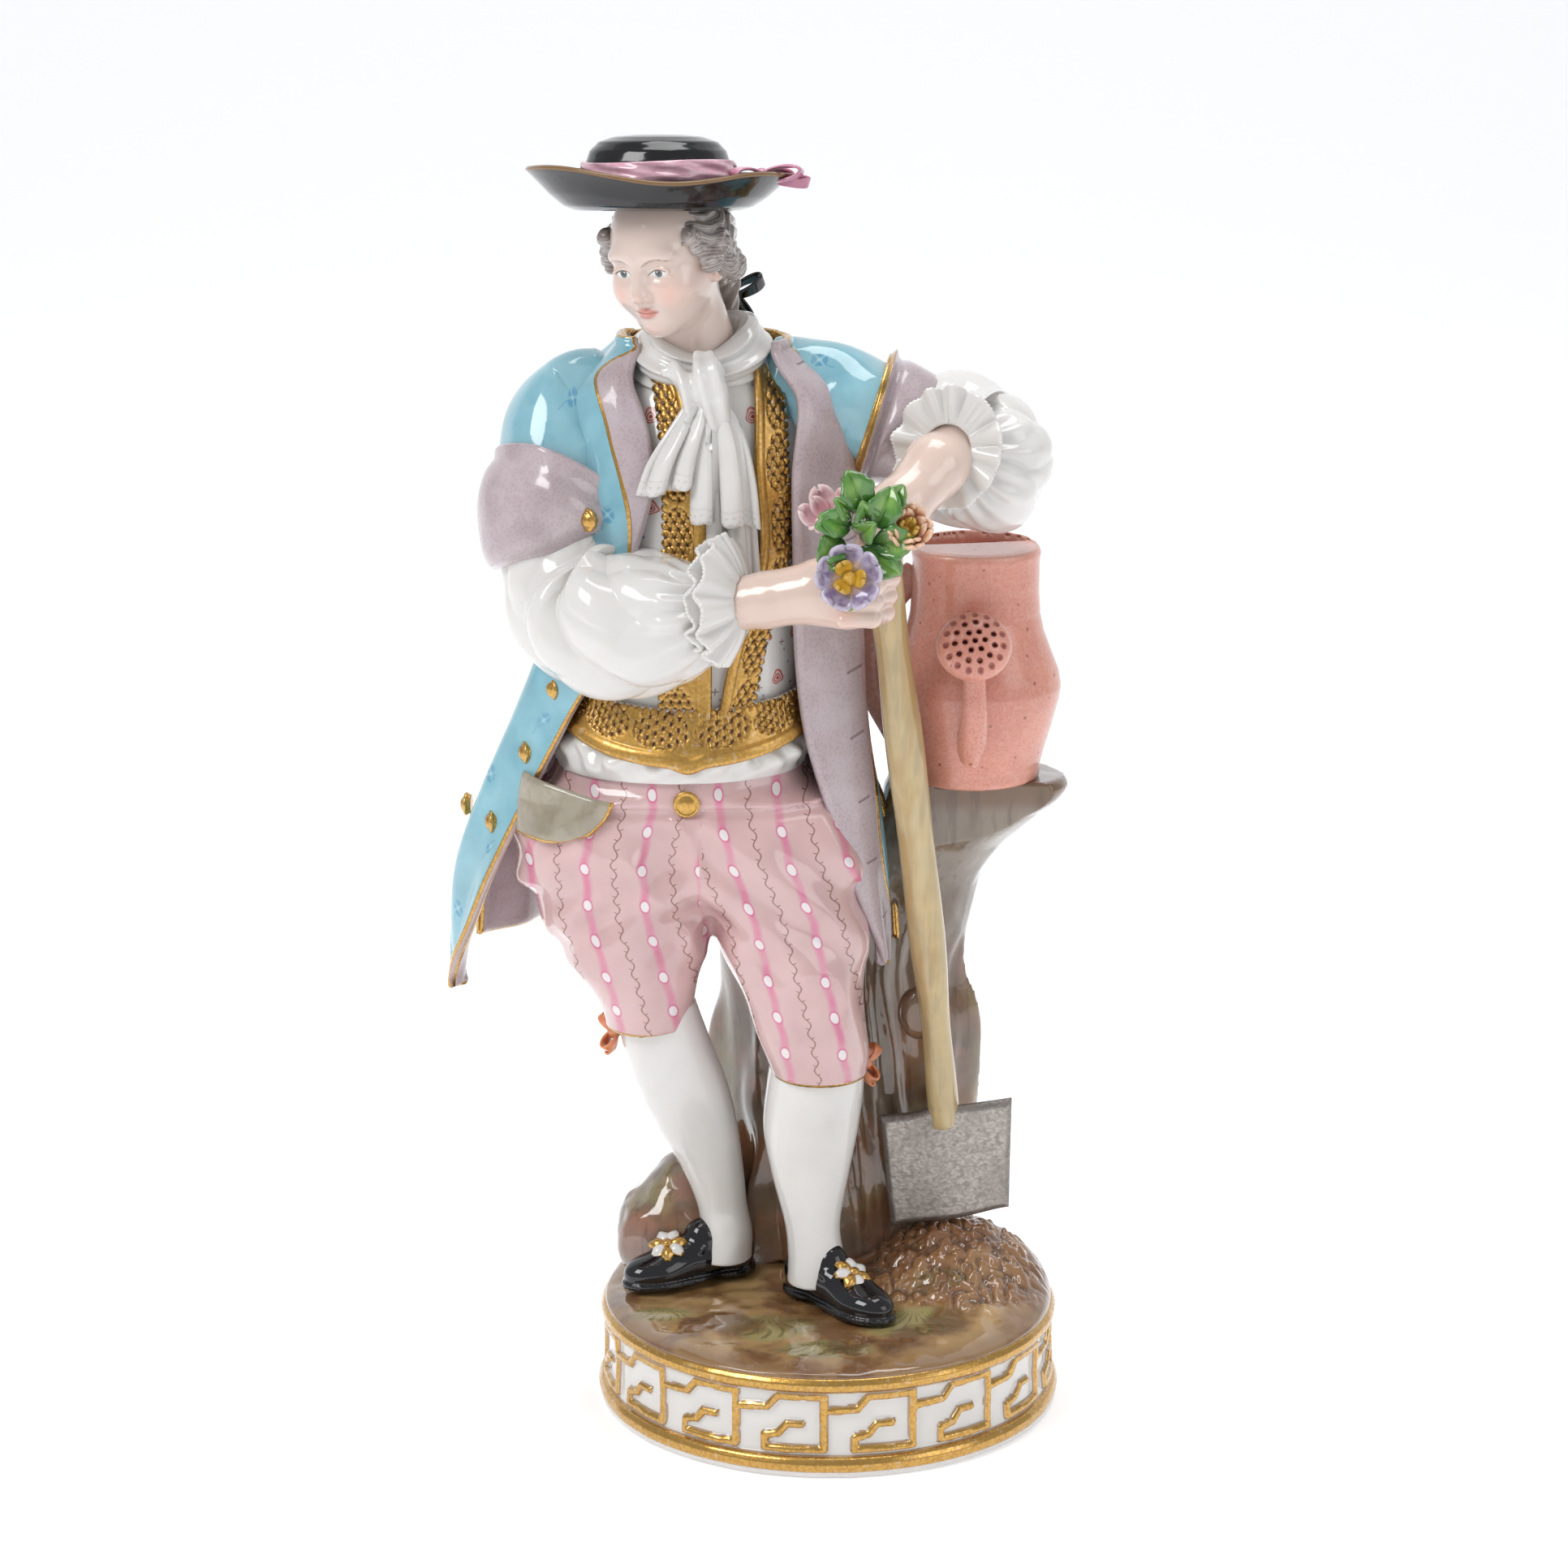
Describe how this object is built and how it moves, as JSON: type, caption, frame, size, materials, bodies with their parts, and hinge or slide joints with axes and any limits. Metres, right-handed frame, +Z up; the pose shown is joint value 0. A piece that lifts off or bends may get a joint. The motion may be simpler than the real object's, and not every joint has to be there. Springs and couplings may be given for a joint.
{
  "type": "porcelain gardener figurine",
  "caption": "Free-standing glazed porcelain figure of a gardener with spade, watering can and posy, on a round plinth with a gilt key pattern.",
  "frame": {"origin": "middle of the plinth's flat underside", "axes": "+Z up, the figure faces -Y, +X is the viewer's right"},
  "size_m": [0.0934, 0.07, 0.1924],
  "materials": {
    "white_glaze": "clear glossy glaze",
    "painted_ground": "glossy brown, ochre and green enamel",
    "bark_glaze": "glossy grey-brown enamel",
    "black_glaze": "glossy black enamel",
    "gilding": "burnished gilding",
    "pink_glaze": "glossy pink striped enamel",
    "flesh_glaze": "glossy flesh tint",
    "cream_glaze": "glossy cream enamel",
    "steel_paint": "matt metallic grey paint",
    "leaf_green": "glossy green enamel",
    "violet_enamel": "glossy violet enamel",
    "orange_enamel": "glossy orange enamel",
    "rose_enamel": "glossy rose enamel",
    "blue_enamel": "glossy sky-blue enamel",
    "lilac_enamel": "satin lilac enamel",
    "beige_enamel": "satin beige enamel",
    "hair_enamel": "satin grey-brown enamel",
    "salmon_glaze": "stippled salmon enamel"
  },
  "bodies": {
    "root": {"breeches": "pink_glaze", "can_body": "salmon_glaze", "can_handle": "salmon_glaze", "can_rose": "salmon_glaze", "can_spout": "salmon_glaze", "coat_back": "blue_enamel", "coat_button_1": "gilding", "coat_button_2": "gilding", "coat_button_3": "gilding", "coat_button_4": "gilding", "coat_button_5": "gilding", "coat_button_6": "gilding", "coat_left_front": "blue_enamel", "coat_right_front": "blue_enamel", "cravat_knot": "white_glaze", "ground": "painted_ground", "hair": "hair_enamel", "hat": "black_glaze", "hat_bow": "rose_enamel", "hat_ribbon": "rose_enamel", "head": "flesh_glaze", "left_coat_cuff": "lilac_enamel", "left_front_lace": "gilding", "left_garter_bow": "orange_enamel", "left_hand": "flesh_glaze", "left_jabot_tail": "white_glaze", "left_ruffle": "white_glaze", "left_shirt_sleeve": "white_glaze", "left_shoe": "black_glaze", "left_shoe_buckle": "gilding", "left_shoulder": "blue_enamel", "left_stocking": "white_glaze", "neckcloth": "white_glaze", "orange_flower": "orange_enamel", "pink_bud": "rose_enamel", "plinth": "white_glaze", "pocket_flap": "beige_enamel", "posy_leaves": "leaf_green", "queue": "hair_enamel", "queue_bow": "black_glaze", "right_coat_cuff": "lilac_enamel", "right_front_lace": "gilding", "right_garter_bow": "orange_enamel", "right_hand": "flesh_glaze", "right_jabot_tail": "white_glaze", "right_ruffle": "white_glaze", "right_shirt_sleeve": "white_glaze", "right_shoe": "black_glaze", "right_shoe_buckle": "gilding", "right_shoulder": "blue_enamel", "right_stocking": "white_glaze", "rock": "painted_ground", "shirt_tail": "white_glaze", "spade_blade": "steel_paint", "spade_shaft": "cream_glaze", "stump": "bark_glaze", "violet_flower": "violet_enamel", "waistband_button": "gilding", "waistcoat": "white_glaze", "waistcoat_hem_lace": "gilding"}
  },
  "joints": []
}
